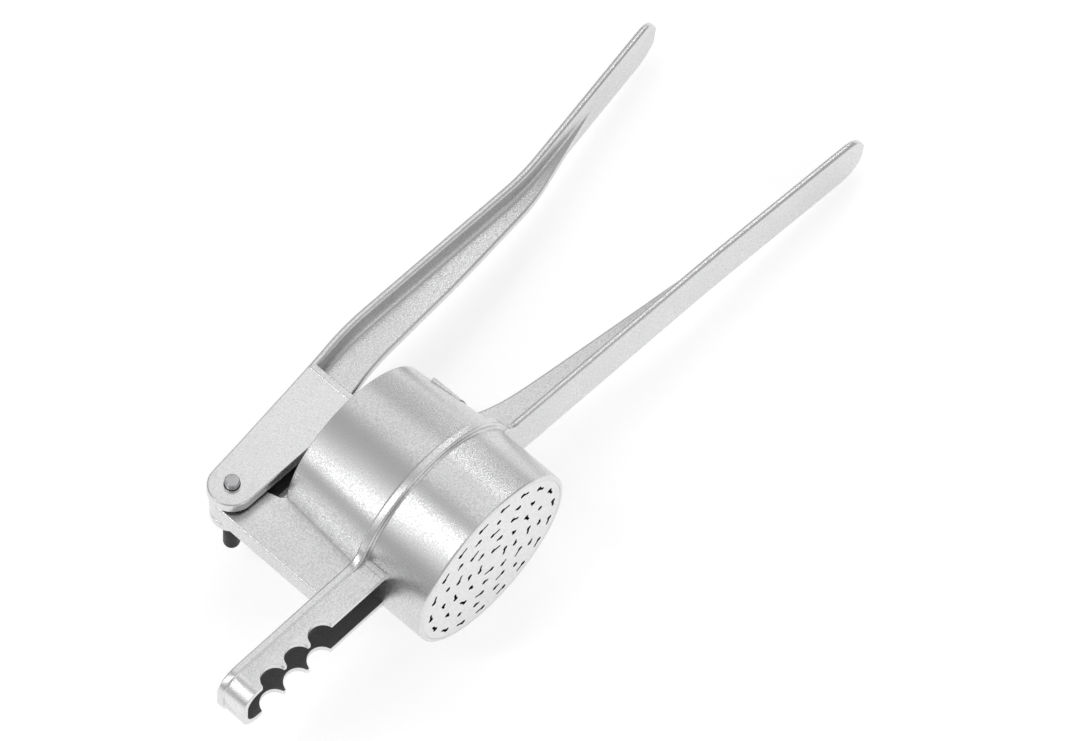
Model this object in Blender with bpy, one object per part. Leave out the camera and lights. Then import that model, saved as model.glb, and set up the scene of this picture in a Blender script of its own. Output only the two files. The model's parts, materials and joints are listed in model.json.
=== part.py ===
"""Potato ricer in cast aluminium, lying on its side as it is put down on a table.

The pieces are drawn upright, in the design frame: the cup's axis is +Z, with the
outer face of the perforated end at Z = 0, the handles run along +X, and the hinge
pin lies along Y. One empty, lay_down, turns the whole tool onto its side.
"""

import math

import bmesh
import bpy
import numpy as np
from mathutils import Matrix, Vector

MM = 0.001
GAP = 0.3  # clearance between two pieces that touch

# Cup, turned about Z.
CUP_HEIGHT = 79.5
CUP_BORE = 38.6
CUP_FOOT_RADIUS = 43.3
CUP_WAIST_RADIUS = 43.8
CUP_RIM_RADIUS = 40.7
COLLAR_RADIUS = 46.4
COLLAR_BOTTOM = 32.2
COLLAR_TOP = 36.6
BADGE_RADIUS = 43.5
BADGE_BOTTOM = 53.5
BADGE_TOP = 69.0
BADGE_HALF_ANGLE = 33.0

# Perforated disc, held in the foot of the cup by its rolled lip.
DISC_RADIUS = 41.4
DISC_THICKNESS = 3.5
HOLE_RINGS = (  # radius, count, first angle from +X, long slot, every nth plain
    (37.0, 18, 16.5, True, 0),
    (29.4, 15, -15.8, False, 3),
    (22.4, 11, 7.1, True, 0),
    (14.5, 8, 11.9, False, 0),
    (7.6, 4, 9.9, True, 0),
)
HOLE_ROUND_RADIUS = 1.3
HOLE_SLOT_WIDTH = 1.35
LONG_HOLE_LENGTH = 5.8
SHORT_HOLE_LENGTH = 4.0

# Hinge, whose axis is parallel to Y.
HINGE_X = -55.0
HINGE_Z = 96.4
PIN_RADIUS = 3.25
PIN_NEAR_END = -15.6
GRIP_RADIUS = 3.7
GRIP_END = 37.0
LUG_RADIUS = 9.5
PLATE_HALF_THICKNESS = 5.3

# Lever.
CHEEK_RADIUS = 10.5
CHEEK_BOTTOM = HINGE_Z - CHEEK_RADIUS
NEAR_CHEEK = (-12.5, -7.0)
FAR_CHEEK = (6.5, 11.0)
FAR_CHEEK_RADIUS = 9.3
CHANNEL_END = 11.5
END_WALL = 3.6
LEVER_SECTION = 3.5
LEVER_HALF_WIDTH = 13.0
LEVER_TIP_X = 255.0

# Lower handle and pot rest.
HANDLE_SECTION = 3.6
HANDLE_HALF_WIDTH = 13.2
HANDLE_TIP_X = 272.0
WEB_HALF_THICKNESS = 2.4
ARM_HALF_WIDTH = 12.8
ARM_WALL = 3.2
ARM_TOP = 36.3
ARM_FOOT = 21.6
ARM_END_X = -124.5
ARM_CORNER = 10.0
NOTCH_RADIUS = 6.5
NOTCH_PITCH = 13.6
FIRST_NOTCH_X = -79.2
NOTCH_COUNT = 3

# Plunger, hung from a pin between the lever's cheeks.
PLUNGER_X = -4.0
PLUNGER_Z = 97.0
PLUNGER_LENGTH = 83.5
PLUNGER_RADIUS = 32.0
PLUNGER_SECTION = 3.2
PLUNGER_TILT = 1.0
STEM_HALF_THICKNESS = 5.0
EYE_RADIUS = 7.0
PLUNGER_PIN_RADIUS = 3.0

# Lying on its side: the handles' far edges droop until they rest where the collar rests.
LEAN = 7.25

ROUND_STEPS = 64


def material(name, colour, roughness, metallic):
    made = bpy.data.materials.new(name)
    made.use_nodes = True
    shader = made.node_tree.nodes["Principled BSDF"]
    shader.inputs["Base Color"].default_value = (*colour, 1.0)
    shader.inputs["Roughness"].default_value = roughness
    shader.inputs["Metallic"].default_value = metallic
    return made


def keep(bm, name, finish=None):
    """Writes a bmesh in millimetres to a new object in metres."""
    bmesh.ops.remove_doubles(bm, verts=bm.verts, dist=0.001)
    bmesh.ops.recalc_face_normals(bm, faces=bm.faces)
    bmesh.ops.scale(bm, vec=(MM, MM, MM), verts=bm.verts)
    mesh = bpy.data.meshes.new(name)
    bm.to_mesh(mesh)
    bm.free()
    mesh.shade_smooth()
    mesh.set_sharp_from_angle(angle=math.radians(35))
    obj = bpy.data.objects.new(name, mesh)
    bpy.context.scene.collection.objects.link(obj)
    if finish:
        mesh.materials.append(finish)
    return obj


def turned(name, profile, finish=None, steps=ROUND_STEPS):
    """A solid of revolution about Z from a closed profile of (radius, z) points."""
    bm = bmesh.new()
    points = [bm.verts.new((r, 0, z)) for r, z in profile]
    edges = [bm.edges.new((a, b)) for a, b in zip(points, points[1:] + points[:1])]
    if profile[0][0] == profile[-1][0] == 0:
        bm.edges.remove(edges.pop())
    bmesh.ops.spin(
        bm,
        geom=points + edges,
        axis=(0, 0, 1),
        cent=(0, 0, 0),
        angle=math.tau,
        steps=steps,
        use_merge=True,
    )
    return keep(bm, name, finish)


def prism(name, outline, low, high, finish=None, upright=False):
    """An outline extruded: (x, z) points along Y, or (x, y) points along Z if upright."""
    bm = bmesh.new()
    if upright:
        points = [bm.verts.new((x, y, low)) for x, y in outline]
        step = (0, 0, high - low)
    else:
        points = [bm.verts.new((x, low, z)) for x, z in outline]
        step = (0, high - low, 0)
    face = bm.faces.new(points)
    grown = bmesh.ops.extrude_face_region(bm, geom=[face])
    moved = [v for v in grown["geom"] if isinstance(v, bmesh.types.BMVert)]
    bmesh.ops.translate(bm, verts=moved, vec=step)
    return keep(bm, name, finish)


def strip(name, outline, bends, top_of_x, section, finish=None):
    """A plan outline of (x, y) points made a bar that follows a top surface over x."""
    bm = bmesh.new()
    bm.faces.new([bm.verts.new((x, y, 0)) for x, y in outline])
    for x in bends:
        everything = bm.verts[:] + bm.edges[:] + bm.faces[:]
        bmesh.ops.bisect_plane(bm, geom=everything, plane_co=(x, 0, 0), plane_no=(1, 0, 0))
    for vert in bm.verts:
        vert.co.z = top_of_x(vert.co.x) - section
    grown = bmesh.ops.extrude_face_region(bm, geom=bm.faces[:])
    moved = [v for v in grown["geom"] if isinstance(v, bmesh.types.BMVert)]
    bmesh.ops.translate(bm, verts=moved, vec=(0, 0, section))
    return keep(bm, name, finish)


def pin_along_y(name, profile, x, z, finish=None, steps=24):
    """A turned piece whose axis is parallel to Y; its profile is (radius, y) points."""
    obj = turned(name, profile, finish, steps)
    obj.data.transform(Matrix.Rotation(math.radians(-90), 4, "X"))
    obj.data.transform(Matrix.Translation((x * MM, 0, z * MM)))
    return obj


def arc(x, y, radius, start, end, steps):
    angles = np.radians(np.linspace(start, end, steps + 1))
    return [(x + radius * math.cos(a), y + radius * math.sin(a)) for a in angles]


def helper(obj):
    obj.hide_render = True
    obj.display_type = "WIRE"
    return obj


def combine(obj, other, operation):
    """Adds another solid to obj, or cuts it away, with a Boolean modifier."""
    modifier = obj.modifiers.new(f"{operation.lower()} {other.name}", "BOOLEAN")
    modifier.operation = operation
    modifier.object = helper(other)
    modifier.solver = "EXACT"


def add(obj, other):
    combine(obj, other, "UNION")


def cut(obj, other):
    combine(obj, other, "DIFFERENCE")


# Shapes that several pieces share -----------------------------------------------------


def along(x, stations):
    """Reads a height from a list of (x, height) stations, smoothed between them."""
    for (x0, z0), (x1, z1) in zip(stations, stations[1:]):
        if x <= x1:
            break
    t = min(max((x - x0) / (x1 - x0), 0.0), 1.0)
    return z0 + (z1 - z0) * t


def lever_top(x):
    """The outer surface of the lever: level over the cup, then rising to the tip."""
    return along(x, ((-56, 106.6), (8, 114.6), (34, 118.6), (146, 119.0), (256, 137.6)))


def handle_top(x):
    """The inner surface of the lower handle's flange, which drops slightly to its tip."""
    return along(x, ((38, 35.4), (170, 32.2), (272, 27.6)))


def bar_outline(start, end, half_width):
    """The plan of a handle: straight sides and a round tip."""
    tip = arc(end - half_width, 0, half_width, -90, 90, 16)
    return [(start, half_width), (start, -half_width), *tip]


def keyhole(centre_x, centre_y, turn, length):
    """A round hole with a narrow slot on one side; turn is the slot's direction."""
    half = HOLE_SLOT_WIDTH / 2
    if length <= 2 * HOLE_ROUND_RADIUS:
        return arc(centre_x, centre_y, HOLE_ROUND_RADIUS, 0, 315, 7)
    neck = math.degrees(math.asin(half / HOLE_ROUND_RADIUS))
    back = HOLE_ROUND_RADIUS - length / 2
    points = [(back + x, y) for x, y in arc(0, 0, HOLE_ROUND_RADIUS, neck, 360 - neck, 7)]
    points += [(length / 2 - 0.4, -half), (length / 2, 0), (length / 2 - 0.4, half)]
    turned_by = Matrix.Rotation(turn, 2)
    placed = [turned_by @ Vector(p) for p in points]
    return [(centre_x + p.x, centre_y + p.y) for p in placed]


# Pieces -------------------------------------------------------------------------------


def body_casting(finish):
    """Cup wall, collar, lower handle, pot rest and hinge bracket: one casting."""
    lip = DISC_RADIUS + GAP
    shoulder = DISC_THICKNESS + GAP
    profile = [
        (0, 0),
        (CUP_FOOT_RADIUS - 1.2, 0),
        (CUP_FOOT_RADIUS - 0.35, 0.35),
        (CUP_FOOT_RADIUS, 1.2),
        (CUP_FOOT_RADIUS + 0.2, COLLAR_BOTTOM - 1.5),
        (CUP_FOOT_RADIUS + 1.2, COLLAR_BOTTOM),
        (COLLAR_RADIUS - 0.8, COLLAR_BOTTOM),
        (COLLAR_RADIUS, COLLAR_BOTTOM + 0.9),
        (COLLAR_RADIUS, COLLAR_TOP - 0.9),
        (COLLAR_RADIUS - 0.8, COLLAR_TOP),
        (CUP_WAIST_RADIUS + 0.9, COLLAR_TOP),
        (CUP_WAIST_RADIUS, COLLAR_TOP + 1.5),
        (CUP_RIM_RADIUS, CUP_HEIGHT - 1.0),
        (CUP_RIM_RADIUS - 0.8, CUP_HEIGHT),
        (0, CUP_HEIGHT),
    ]
    body = turned("body_casting", profile, finish)
    add(body, bracket_plate())
    add(body, handle_flange())
    add(body, handle_web())
    add(body, pot_rest())
    add(body, badge_pad())
    bore = [
        (0, -2),
        (lip, -2),
        (lip, shoulder),
        (CUP_BORE, shoulder),
        (CUP_BORE, CUP_HEIGHT - 0.5),
        (CUP_BORE + 0.7, CUP_HEIGHT + 0.2),
        (CUP_BORE + 0.7, CUP_HEIGHT + 8),
        (0, CUP_HEIGHT + 8),
    ]
    cut(body, turned("bore_cutter", bore))
    hole = [(0, -20), (PIN_RADIUS + GAP, -20), (PIN_RADIUS + GAP, 20), (0, 20)]
    cut(body, pin_along_y("lug_hole_cutter", hole, HINGE_X, HINGE_Z))
    return body


def bracket_plate():
    """The flat plate that rises in front of the cup to the hinge lug."""
    front = HINGE_X - LUG_RADIUS
    outline = [(front, ARM_TOP - 3)]
    outline += arc(HINGE_X, HINGE_Z, LUG_RADIUS, 180, -30, 14)
    outline += [(-44.3, 88.0), (-42.2, 81.2), (-39.8, CUP_HEIGHT - 0.5)]
    outline += [(-39.8, ARM_TOP - 3)]
    return prism("bracket_plate", outline, -PLATE_HALF_THICKNESS, PLATE_HALF_THICKNESS)


def handle_flange():
    """The flat of the lower handle's T section."""
    plan = bar_outline(40, HANDLE_TIP_X, HANDLE_HALF_WIDTH)
    return strip("handle_flange", plan, (170,), handle_top, HANDLE_SECTION)


def handle_web():
    """The rib on the flange, deep at the cup and run out to nothing at the grip."""
    buried = HANDLE_SECTION / 2
    low = [(x, handle_top(x) - buried) for x in (39.5, 105, 170, 192)]
    high = [(180, 34.2), (71, 47.0), (56, 49.6), (49, 51.6), (44.4, 54.4), (39.5, 55.4)]
    outline = low + high
    return prism("handle_web", outline, -WEB_HALF_THICKNESS, WEB_HALF_THICKNESS)


def pot_rest():
    """The notched channel opposite the handle, which hooks over the rim of a pot."""
    start = -39.5
    corner_x = ARM_END_X + ARM_CORNER
    corner_y = ARM_HALF_WIDTH - ARM_CORNER
    plan = [(start, ARM_HALF_WIDTH)]
    plan += arc(corner_x, corner_y, ARM_CORNER, 90, 180, 6)
    plan += arc(corner_x, -corner_y, ARM_CORNER, 180, 270, 6)
    plan += [(start, -ARM_HALF_WIDTH)]
    arm = prism("pot_rest", plan, ARM_FOOT, ARM_TOP, upright=True)
    inner = ARM_CORNER - ARM_WALL
    hollow = [(start + 5, ARM_HALF_WIDTH - ARM_WALL)]
    hollow += arc(corner_x, corner_y, inner, 90, 180, 4)
    hollow += arc(corner_x, -corner_y, inner, 180, 270, 4)
    hollow += [(start + 5, -ARM_HALF_WIDTH + ARM_WALL)]
    cutter = prism("pot_rest_hollow", hollow, 10, ARM_TOP - 3.4, upright=True)
    cut(arm, cutter)
    for n in range(NOTCH_COUNT):
        x = FIRST_NOTCH_X - n * NOTCH_PITCH
        outline = arc(x, ARM_FOOT - 1.0, NOTCH_RADIUS, 0, 345, 23)
        notch = prism(f"notch_{n}", outline, -20, 20)
        cut(arm, notch)
    return arm


def badge_pad():
    """A low blank pad on the cup wall, facing along the handle."""
    half = BADGE_HALF_ANGLE
    outer = arc(0, 0, BADGE_RADIUS, -half, half, 12)
    inner = arc(0, 0, CUP_BORE + 0.6, half, -half, 12)
    return prism("badge_pad", outer + inner, BADGE_BOTTOM, BADGE_TOP, upright=True)


def perforated_disc(finish):
    """The pressed disc with its rings of keyhole openings."""
    edge = 0.4
    profile = [
        (0, 0),
        (DISC_RADIUS - edge, 0),
        (DISC_RADIUS, edge),
        (DISC_RADIUS, DISC_THICKNESS),
        (0, DISC_THICKNESS),
    ]
    disc = turned("perforated_disc", profile, finish)
    bm = bmesh.new()
    for ring, (radius, count, first, is_long, plain) in enumerate(HOLE_RINGS):
        length = LONG_HOLE_LENGTH if is_long else SHORT_HOLE_LENGTH
        side = 1 if is_long else -1
        for n in range(count):
            angle = math.radians(first) + math.tau * n / count
            size = 0 if plain and n % plain == 0 else length
            x, y = radius * math.cos(angle), radius * math.sin(angle)
            outline = keyhole(x, y, angle + side * math.pi / 2, size)
            points = [bm.verts.new((px, py, -1)) for px, py in outline]
            grown = bmesh.ops.extrude_face_region(bm, geom=[bm.faces.new(points)])
            moved = [v for v in grown["geom"] if isinstance(v, bmesh.types.BMVert)]
            bmesh.ops.translate(bm, verts=moved, vec=(0, 0, DISC_THICKNESS + 2))
    cut(disc, keep(bm, "keyhole_cutter"))
    return disc


def lever_casting(finish):
    """The upper handle: a channel at the hinge, then a T section, then a flat grip."""
    lever = cheek("lever_casting", NEAR_CHEEK, CHEEK_RADIUS, finish)
    add(lever, cheek("far_cheek", FAR_CHEEK, FAR_CHEEK_RADIUS))
    add(lever, channel_roof())
    add(lever, channel_end())
    add(lever, lever_flange())
    add(lever, lever_web())
    hole = [(0, -30), (PIN_RADIUS + GAP, -30), (PIN_RADIUS + GAP, 30), (0, 30)]
    cut(lever, pin_along_y("cheek_hole_cutter", hole, HINGE_X, HINGE_Z))
    radius = PLUNGER_PIN_RADIUS + GAP
    blind = NEAR_CHEEK[1] - 3.4
    hole = [(0, blind), (radius, blind), (radius, 30), (0, 30)]
    cut(lever, pin_along_y("plunger_hole_cutter", hole, PLUNGER_X, PLUNGER_Z))
    return lever


def cheek(name, sides, radius, finish=None):
    """One side plate of the lever's channel, round at the hinge."""
    low, high = sides
    outline = arc(HINGE_X, HINGE_Z, radius, 270, 97, 16)
    outline += [(x, lever_top(x)) for x in (8, CHANNEL_END)]
    outline += [(CHANNEL_END, CHEEK_BOTTOM), (-47, CHEEK_BOTTOM)]
    return prism(name, outline, low, high, finish)


def channel_roof():
    """The outer wall that joins the two cheeks; it stops clear of the hinge lug."""
    stations = (-45, 8, CHANNEL_END)
    outer = [(x, lever_top(x)) for x in stations]
    inner = [(x, lever_top(x) - LEVER_SECTION) for x in reversed(stations)]
    return prism("channel_roof", outer + inner, NEAR_CHEEK[0] + 1, FAR_CHEEK[1] - 1)


def channel_end():
    """The cross wall that closes the channel where the T section begins."""
    low = CHANNEL_END - END_WALL
    stations = (low, CHANNEL_END)
    outline = [(x, lever_top(x) - 1) for x in stations]
    outline += [(CHANNEL_END, CHEEK_BOTTOM), (low, CHEEK_BOTTOM)]
    return prism("channel_end", outline, -LEVER_HALF_WIDTH, FAR_CHEEK[1] + 0.5)


def lever_flange():
    """The flat of the lever's T section, which becomes the grip."""
    plan = bar_outline(CHANNEL_END - END_WALL, LEVER_TIP_X, LEVER_HALF_WIDTH)
    return strip("lever_flange", plan, (34, 146), lever_top, LEVER_SECTION)


def lever_web():
    """The rib under the flange, run out to nothing at the grip."""
    buried = LEVER_SECTION / 2
    top = [(x, lever_top(x) - buried) for x in (194, 146, 90, 34, CHANNEL_END - 1)]
    outline = top + [(CHANNEL_END - 1, 94.6), (91, 103.0), (147, 108.6), (188, 120.6)]
    return prism("lever_web", outline, -WEB_HALF_THICKNESS, WEB_HALF_THICKNESS)


def hinge_pin(finish):
    """The steel pin, with a thinner tang that its grip is pressed onto."""
    shoulder = FAR_CHEEK[1] + GAP
    profile = [
        (0, PIN_NEAR_END),
        (PIN_RADIUS - 0.6, PIN_NEAR_END),
        (PIN_RADIUS, PIN_NEAR_END + 0.6),
        (PIN_RADIUS, shoulder),
        (2.0, shoulder),
        (2.0, shoulder + 13),
        (0, shoulder + 13),
    ]
    return pin_along_y("hinge_pin", profile, HINGE_X, HINGE_Z, finish)


def pin_grip(finish):
    """The black sleeve with a domed end by which the hinge pin is drawn out."""
    start = FAR_CHEEK[1] + 2 * GAP
    bore, depth = 2.0 + GAP, 14.0
    dome = [
        (GRIP_RADIUS * math.cos(a), GRIP_END - GRIP_RADIUS + GRIP_RADIUS * math.sin(a))
        for a in np.radians(np.linspace(0, 90, 6))
    ]
    dome[-1] = (0, GRIP_END)
    profile = [(0, start + depth), (bore, start + depth), (bore, start), (GRIP_RADIUS, start)]
    return pin_along_y("hinge_pin_grip", profile + dome, HINGE_X, HINGE_Z, finish)


def plunger_pin(finish):
    """The headed pin from which the plunger hangs."""
    head = FAR_CHEEK[1] + GAP
    profile = [
        (0, NEAR_CHEEK[1] - 3.0),
        (PLUNGER_PIN_RADIUS, NEAR_CHEEK[1] - 3.0),
        (PLUNGER_PIN_RADIUS, head),
        (5.0, head),
        (5.0, head + 1.2),
        (4.4, head + 1.8),
        (0, head + 1.8),
    ]
    return pin_along_y("plunger_pin", profile, PLUNGER_X, PLUNGER_Z, finish)


def plunger_plate(finish):
    """The round pressing plate, with a raised seat for the stem."""
    low = PLUNGER_Z - PLUNGER_LENGTH
    high = low + PLUNGER_SECTION
    profile = [
        (2.6 + GAP, low + 1.6),
        (4.6, low),
        (PLUNGER_RADIUS - 0.8, low),
        (PLUNGER_RADIUS, low + 0.8),
        (PLUNGER_RADIUS, high - 0.6),
        (PLUNGER_RADIUS - 0.6, high),
        (13.4, high),
        (12.6, high + 1.4),
        (2.6 + GAP, high + 1.4),
    ]
    plate = turned("plunger_plate", profile, finish)
    plate.data.transform(Matrix.Translation((PLUNGER_X * MM, 0, 0)))
    return plate


def plunger_stem(finish):
    """The flat stem: an eye at the top, spreading into a round foot."""
    foot = PLUNGER_Z - PLUNGER_LENGTH + PLUNGER_SECTION + 1.4 + GAP
    x = PLUNGER_X
    outline = arc(x, PLUNGER_Z, EYE_RADIUS, 0, 180, 12)
    outline += [(x - 6, 78), (x - 6.5, foot + 16), (x - 11.5, foot + 4), (x - 11.5, foot)]
    outline += [(x + 11.5, foot), (x + 11.5, foot + 4), (x + 6.5, foot + 16), (x + 6, 78)]
    half = STEM_HALF_THICKNESS
    stem = prism("plunger_stem", outline, -half, half, finish)
    base = [(0, foot), (12, foot), (12, foot + 2.4), (11.2, foot + 3.2), (0, foot + 3.2)]
    base_disc = turned("stem_foot", base, steps=48)
    base_disc.data.transform(Matrix.Translation((x * MM, 0, 0)))
    add(stem, base_disc)
    rib = [(-11, foot + 1), (11, foot + 1), (5.2, foot + 15), (4.0, 72), (-4.0, 72), (-5.2, foot + 15)]
    cross_rib = prism("stem_rib", [(y, z) for y, z in rib], -2.5, 2.5)
    cross_rib.data.transform(Matrix.Rotation(math.radians(90), 4, "Z"))
    cross_rib.data.transform(Matrix.Translation((x * MM, 0, 0)))
    add(stem, cross_rib)
    eye = [(0, -20), (PLUNGER_PIN_RADIUS + GAP, -20), (PLUNGER_PIN_RADIUS + GAP, 20), (0, 20)]
    cut(stem, pin_along_y("eye_cutter", eye, x, PLUNGER_Z))
    screw_hole = turned("stem_screw_hole", [(0, 0), (2.5, 0), (2.5, foot + 11), (0, foot + 11)])
    screw_hole.data.transform(Matrix.Translation((x * MM, 0, 0)))
    cut(stem, screw_hole)
    return stem


def plunger_screw(finish):
    """The countersunk screw that holds the plate to the stem from below."""
    low = PLUNGER_Z - PLUNGER_LENGTH
    profile = [
        (0, low + 0.5),
        (1.0, low + 0.5),
        (1.0, low + 0.1),
        (4.0, low + 0.1),
        (2.2, low + 1.6),
        (2.2, low + 14),
        (0, low + 14),
    ]
    screw = turned("plunger_screw", profile, finish, steps=24)
    screw.data.transform(Matrix.Translation((PLUNGER_X * MM, 0, 0)))
    return screw


# Assembly -----------------------------------------------------------------------------


def empty(name, location, parent=None):
    made = bpy.data.objects.new(name, None)
    bpy.context.scene.collection.objects.link(made)
    made.location = location
    made.parent = parent
    return made


def attach(obj, parent, origin):
    """Hangs an object on an empty at origin, which becomes the object's own origin."""
    for piece in [obj, *helpers_of(obj)]:
        piece.data.transform(Matrix.Translation(-Vector(origin)))
        piece.parent = parent


def helpers_of(obj):
    found = []
    for modifier in obj.modifiers:
        found.append(modifier.object)
        found += helpers_of(modifier.object)
    return found


def settle(lay_down, pieces):
    """Moves the whole tool until its footprint is centred on the origin, resting on Z = 0."""
    bpy.context.view_layer.update()
    graph = bpy.context.evaluated_depsgraph_get()
    points = []
    for piece in pieces:
        evaluated = piece.evaluated_get(graph)
        points += [evaluated.matrix_world @ v.co for v in evaluated.data.vertices]
    low, high = np.min(points, axis=0), np.max(points, axis=0)
    middle = (low + high) / 2
    lay_down.matrix_world.translation = (-middle[0], -middle[1], -low[2])


def main():
    for obj in list(bpy.data.objects):
        bpy.data.objects.remove(obj, do_unlink=True)

    cast = material("cast_aluminium", (0.62, 0.62, 0.63), 0.42, 0.9)
    pressed = material("pressed_aluminium", (0.66, 0.66, 0.67), 0.45, 0.9)
    turned_cast = material("plunger_aluminium", (0.58, 0.58, 0.59), 0.4, 0.9)
    steel = material("pin_steel", (0.5, 0.5, 0.51), 0.25, 1.0)
    black = material("black_plastic", (0.02, 0.02, 0.02), 0.45, 0.0)

    hinge = Vector((HINGE_X * MM, 0, HINGE_Z * MM))
    pivot = Vector((PLUNGER_X * MM, 0, PLUNGER_Z * MM))

    # Side down: design Z becomes Y, and the design's -Y side faces up.
    lay_down = empty("lay_down", (0, 0, 0))
    on_its_side = Matrix.Rotation(math.radians(-90), 4, "X")
    lay_down.matrix_world = on_its_side @ Matrix.Rotation(math.radians(LEAN), 4, "Z")
    lever_axis = empty("lever_axis", hinge, lay_down)
    plunger_axis = empty("plunger_axis", pivot - hinge, lever_axis)
    plunger_axis.rotation_euler = (0, -math.radians(PLUNGER_TILT), 0)

    still = [body_casting(cast), perforated_disc(pressed)]
    on_lever = [lever_casting(cast), hinge_pin(steel), pin_grip(black), plunger_pin(steel)]
    hanging = [plunger_plate(turned_cast), plunger_stem(turned_cast), plunger_screw(steel)]
    for pieces, parent, origin in (
        (still, lay_down, Vector((0, 0, 0))),
        (on_lever, lever_axis, hinge),
        (hanging, plunger_axis, pivot),
    ):
        for piece in pieces:
            attach(piece, parent, origin)
    settle(lay_down, still + on_lever + hanging)


main()
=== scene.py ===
# %% [markdown]
# # A cast aluminium potato ricer
#
# A ricer is a lever press: a cup with a perforated end, two long handles and a plunger.
# This one lies on its side, closed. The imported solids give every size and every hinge,
# and this lesson draws the same pieces again with the roundings and finishes of a casting.

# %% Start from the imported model
import json
import math

import bmesh
import bpy
import numpy as np
from mathutils import Matrix, Vector


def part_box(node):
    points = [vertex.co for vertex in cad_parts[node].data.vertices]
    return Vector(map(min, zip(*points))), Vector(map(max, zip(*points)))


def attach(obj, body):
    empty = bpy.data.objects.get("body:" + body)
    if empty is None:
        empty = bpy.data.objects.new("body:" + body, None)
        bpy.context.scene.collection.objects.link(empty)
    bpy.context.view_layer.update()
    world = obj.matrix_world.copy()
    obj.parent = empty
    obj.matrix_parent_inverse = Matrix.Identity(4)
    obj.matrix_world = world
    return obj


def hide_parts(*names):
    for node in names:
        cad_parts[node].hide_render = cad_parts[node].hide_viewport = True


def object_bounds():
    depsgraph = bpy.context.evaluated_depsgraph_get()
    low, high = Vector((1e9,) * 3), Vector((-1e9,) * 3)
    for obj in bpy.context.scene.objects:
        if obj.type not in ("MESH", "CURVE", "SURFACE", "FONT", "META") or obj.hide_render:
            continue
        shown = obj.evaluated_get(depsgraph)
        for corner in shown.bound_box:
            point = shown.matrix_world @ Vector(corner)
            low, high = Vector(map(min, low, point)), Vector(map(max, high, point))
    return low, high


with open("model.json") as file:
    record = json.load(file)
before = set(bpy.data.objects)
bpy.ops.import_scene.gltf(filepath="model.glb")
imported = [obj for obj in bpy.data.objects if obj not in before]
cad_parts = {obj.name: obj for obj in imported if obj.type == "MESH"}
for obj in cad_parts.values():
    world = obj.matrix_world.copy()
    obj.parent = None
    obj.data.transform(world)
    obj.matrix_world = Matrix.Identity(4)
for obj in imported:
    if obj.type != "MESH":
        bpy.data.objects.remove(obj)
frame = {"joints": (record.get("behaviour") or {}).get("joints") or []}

cad_low, cad_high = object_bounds()
print("solids span, mm:", [round(1000 * v) for v in cad_high - cad_low])

# %% [markdown]
# ## One matrix for the whole tool
#
# Drawing a tool upright is easier than drawing it lying down. Here the cup's axis is Z,
# the handles run along X and the hinge pin lies along Y, all in millimetres, with the
# outer face of the perforated end at Z = 0. The matrix below turns that drawing onto its
# side and makes it metres. Its place comes from the perforated disc's own box.

# %% Upright drawing to lying tool
MM = 0.001
LEAN = math.radians(7.25)

disc_low, disc_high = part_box("perforated_disc")
cup_foot = Vector(((disc_low.x + disc_high.x) / 2, disc_low.y, (disc_low.z + disc_high.z) / 2))
LIE_DOWN = (
    Matrix.Translation(cup_foot)
    @ Matrix.Rotation(-math.pi / 2, 4, "X")
    @ Matrix.Rotation(LEAN, 4, "Z")
    @ Matrix.Scale(MM, 4)
)
HINGE = Vector((-55.0, 0, 96.4))
PLUNGER_PIVOT = Vector((-4.0, 0, 97.0))
hinge_found = LIE_DOWN @ HINGE
hinge_stated = Vector(frame["joints"][0]["pos_m"])
print("hinge is off by, mm:", round(1000 * (hinge_found - hinge_stated).length, 3))

# %% [markdown]
# ## Small tools
#
# Almost every piece starts as a flat outline. Spinning it makes a turned shape, and
# extruding it makes a plate. A cast or turned edge is never quite sharp, so `soften`
# bevels each edge that folds by more than an angle. Working on a bmesh keeps each step
# exact, and the only modifier that stays on a finished piece evens out its shading.

# %% Spin, extrude and soften


def turned(profile, steps):
    """A solid of revolution about Z from (radius, z) points."""
    bm = bmesh.new()
    points = [bm.verts.new((r, 0, z)) for r, z in profile]
    edges = [bm.edges.new(pair) for pair in zip(points, points[1:] + points[:1])]
    if profile[0][0] == profile[-1][0] == 0:
        bm.edges.remove(edges.pop())
    bmesh.ops.spin(
        bm, geom=points + edges, axis=(0, 0, 1), cent=(0, 0, 0), angle=math.tau,
        steps=steps, use_merge=True,
    )
    return tidy(bm)


def tidy(bm):
    bmesh.ops.remove_doubles(bm, verts=bm.verts, dist=0.002)
    bmesh.ops.recalc_face_normals(bm, faces=bm.faces)
    return bm


def extrude(bm, faces, step):
    """Extrudes faces and moves what is new by a step."""
    grown = bmesh.ops.extrude_face_region(bm, geom=faces)
    moved = [v for v in grown["geom"] if isinstance(v, bmesh.types.BMVert)]
    bmesh.ops.translate(bm, verts=moved, vec=step)


def plate(outline, low, high, along="Y"):
    """An outline made a plate: (x, z) points along Y, or (x, y) points along Z."""
    bm = bmesh.new()
    flat = [(x, low, v) if along == "Y" else (x, v, low) for x, v in outline]
    face = bm.faces.new([bm.verts.new(p) for p in flat])
    extrude(bm, [face], (0, high - low, 0) if along == "Y" else (0, 0, high - low))
    return tidy(bm)


def round_edges(bm, edges, width, segments):
    bmesh.ops.bevel(
        bm, geom=edges, offset=width, offset_type="OFFSET", segments=segments,
        profile=0.5, affect="EDGES", material=-1, clamp_overlap=True,
    )


def soften(bm, width, segments, fold):
    """Rounds every edge that folds by more than an angle in degrees."""
    limit = math.radians(fold)
    sharp = [e for e in bm.edges if len(e.link_faces) == 2 and e.calc_face_angle() > limit]
    round_edges(bm, sharp, width, segments)
    return bm


def arc(x, y, radius, start, end, steps):
    angles = np.radians(np.linspace(start, end, steps + 1))
    return [(x + radius * math.cos(a), y + radius * math.sin(a)) for a in angles]


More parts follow.
